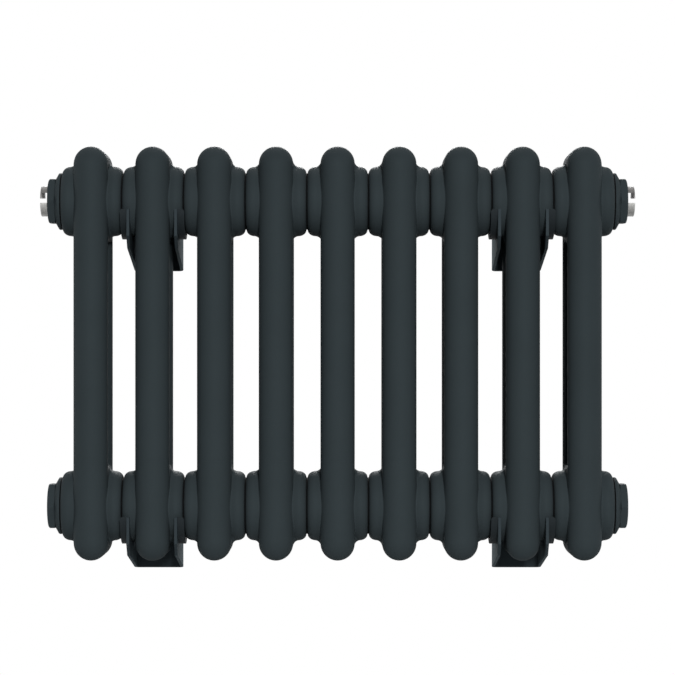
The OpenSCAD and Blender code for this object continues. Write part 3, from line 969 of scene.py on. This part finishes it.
def plated_zinc(tree, place, tone):
    """Zinc plate on turned steel: a pale metal with a faint cloudy passivation."""
    cloud_width = 0.0015
    cloud = add_node(tree, "ShaderNodeTexNoise", {"Vector": place, "Scale": 1 / cloud_width, "Detail": 3.0})
    rough = add_node(
        tree, "ShaderNodeMapRange", {"Value": cloud.outputs["Fac"], "To Min": 0.3, "To Max": 0.5}
    )
    base = tinted(tree, place, tone, patch=0.003, spread=0.12)
    finish = {"Base Color": base, "Metallic": 1.0, "Roughness": rough.outputs["Result"]}
    return add_node(tree, "ShaderNodeBsdfPrincipled", finish).outputs["BSDF"]


# ---------------------------------------------------------------- stage


def background_rays(tree):
    """1 for camera, glossy and transmission rays, which see the white background, and 0 for the rest."""
    rays = add_node(tree, "ShaderNodeLightPath").outputs
    first = {0: rays["Is Camera Ray"], 1: rays["Is Glossy Ray"]}
    camera_or_glossy = add_node(tree, "ShaderNodeMath", first, operation="MAXIMUM").outputs[0]
    second = {0: camera_or_glossy, 1: rays["Is Transmission Ray"]}
    return add_node(tree, "ShaderNodeMath", second, operation="MAXIMUM").outputs[0]


def studio_floor(tree, place, tone, near, far):
    """Matt floor that keeps the shadow near the object and fades to the white background further out."""
    flat = add_node(tree, "ShaderNodeVectorMath", {0: place, 1: (1, 1, 0)}, operation="MULTIPLY")
    out = add_node(tree, "ShaderNodeVectorMath", {0: flat.outputs["Vector"]}, operation="LENGTH")
    bounds = {"Value": out.outputs["Value"], "From Min": near, "From Max": far}
    fade = add_node(tree, "ShaderNodeMapRange", bounds, interpolation_type="SMOOTHSTEP").outputs["Result"]
    white_share = add_node(
        tree, "ShaderNodeMath", {0: fade, 1: background_rays(tree)}, operation="MULTIPLY"
    ).outputs[0]
    matt = add_node(tree, "ShaderNodeBsdfDiffuse", {"Color": tuple(tone), "Roughness": 0.0}).outputs["BSDF"]
    white = add_node(tree, "ShaderNodeEmission", {"Color": WHITE, "Strength": 1.0}).outputs["Emission"]
    return add_node(tree, "ShaderNodeMixShader", {0: white_share, 1: matt, 2: white}).outputs["Shader"]


def soft_light(name, place, target, size, power):
    """A square area light at a place, aimed at a target."""
    light = bpy.data.lights.new(name, "AREA")
    light.shape = "SQUARE"
    light.size = size
    light.energy = power
    lamp = bpy.data.objects.new(name, light)
    lamp.location = place
    lamp.rotation_euler = (Vector(target) - Vector(place)).to_track_quat("-Z", "Y").to_euler()
    bpy.context.scene.collection.objects.link(lamp)
    return lamp


class RADIATOR_OT_stage(bpy.types.Operator):
    """Sets up the camera, the pale floor, the white background and the soft lights"""

    bl_idname = "radiator.stage"
    bl_label = "Studio"

    AIM = (0, -0.05, 0)
    # Each lamp's place and side in metres, and its power in watts.
    LAMPS = {
        "Key": ((0.4, -4.0, 1.12), 0.45, 126),
        "Fill_back": ((0, 2.5, 1.2), 0.8, 40),
        "Fill_left": ((-2.5, 0.7, 0.6), 0.8, 12),
        "Fill_right": ((2.5, 0.7, 0.6), 0.8, 12),
        "Fill_top": ((0, 1.2, 2.4), 0.8, 14),
    }

    def execute(self, context):
        scene, studio = context.scene, context.scene.radiator_studio
        scene.view_settings.view_transform = "Standard"
        self.camera(scene, studio)
        self.floor(scene, studio)
        self.world(scene, studio.ambient)
        for name, (place, side, power) in self.LAMPS.items():
            soft_light(name, place, self.AIM, side, power)
        return {"FINISHED"}

    def camera(self, scene, studio):
        """Level camera, square on to the front columns' middle."""
        lens = bpy.data.cameras.new("Camera")
        lens.lens = studio.lens
        lens.sensor_width = studio.sensor
        lens.shift_x = studio.shift_x
        lens.shift_y = studio.shift_y
        camera = bpy.data.objects.new("Camera", lens)
        middle = centre(f"section_{SECTIONS[len(SECTIONS) // 2]}_front_column")
        camera.location = (middle.x, middle.y - studio.distance, middle.z)
        camera.rotation_euler = (math.pi / 2, 0, 0)
        scene.collection.objects.link(camera)
        scene.camera = camera

    def floor(self, scene, studio):
        """One square face below the object."""
        half, z = studio.floor_half, -studio.floor_drop
        corners = [(-half, -half, z), (half, -half, z), (half, half, z), (-half, half, z)]
        mesh = bpy.data.meshes.new("Floor")
        mesh.from_pydata(corners, [], [(0, 1, 2, 3)])
        tone, near, far = scene.radiator_finish.floor, studio.fade_near, studio.fade_far
        mesh.materials.append(made_material("pale_studio_floor", studio_floor, tone, near, far))
        floor = bpy.data.objects.new("Floor", mesh)
        scene.collection.objects.link(floor)

    def world(self, scene, ambient):
        """White where it is seen or reflected, and a soft even light from all round."""
        world = bpy.data.worlds.new("White studio")
        world.use_nodes = True
        tree = world.node_tree
        tree.nodes.clear()
        bounds = {"Value": background_rays(tree), "To Min": ambient, "To Max": 1.0}
        level = add_node(tree, "ShaderNodeMapRange", bounds).outputs["Result"]
        white = add_node(tree, "ShaderNodeBackground", {"Color": WHITE, "Strength": level})
        add_node(tree, "ShaderNodeOutputWorld", {"Surface": white.outputs["Background"]})
        scene.world = world


# ---------------------------------------------------------------- panel and registration

OPERATORS = (
    RADIATOR_OT_stage,
    RADIATOR_OT_heads,
    RADIATOR_OT_columns,
    RADIATOR_OT_bushes,
    RADIATOR_OT_vent,
    RADIATOR_OT_plug,
    RADIATOR_OT_brackets,
    RADIATOR_OT_seals,
)


class RADIATOR_PT_dresser(bpy.types.Panel):
    """Lists the pieces in the order in which they are built"""

    bl_idname = "RADIATOR_PT_dresser"
    bl_label = "Radiator"
    bl_space_type = "VIEW_3D"
    bl_region_type = "UI"
    bl_category = "Radiator"

    def draw(self, context):
        for group in GROUPS:
            box = self.layout.box()
            settings = getattr(context.scene, group)
            for name in settings.__annotations__:
                box.prop(settings, name)
        for operator in OPERATORS:
            self.layout.operator(operator.bl_idname)


CLASSES = (*GROUPS.values(), *OPERATORS, RADIATOR_PT_dresser)


def register():
    for kind in CLASSES:
        bpy.utils.register_class(kind)
    for name, kind in GROUPS.items():
        setattr(bpy.types.Scene, name, PointerProperty(type=kind))


def unregister():
    for name in GROUPS:
        delattr(bpy.types.Scene, name)
    for kind in reversed(CLASSES):
        bpy.utils.unregister_class(kind)


def main():
    """Builds the whole scene."""
    register()
    bpy.ops.radiator.stage()
    bpy.ops.radiator.heads()
    bpy.ops.radiator.columns()
    bpy.ops.radiator.bushes()
    bpy.ops.radiator.vent()
    bpy.ops.radiator.plug()
    bpy.ops.radiator.brackets()
    bpy.ops.radiator.seals()


if __name__ == "__main__":
    main()
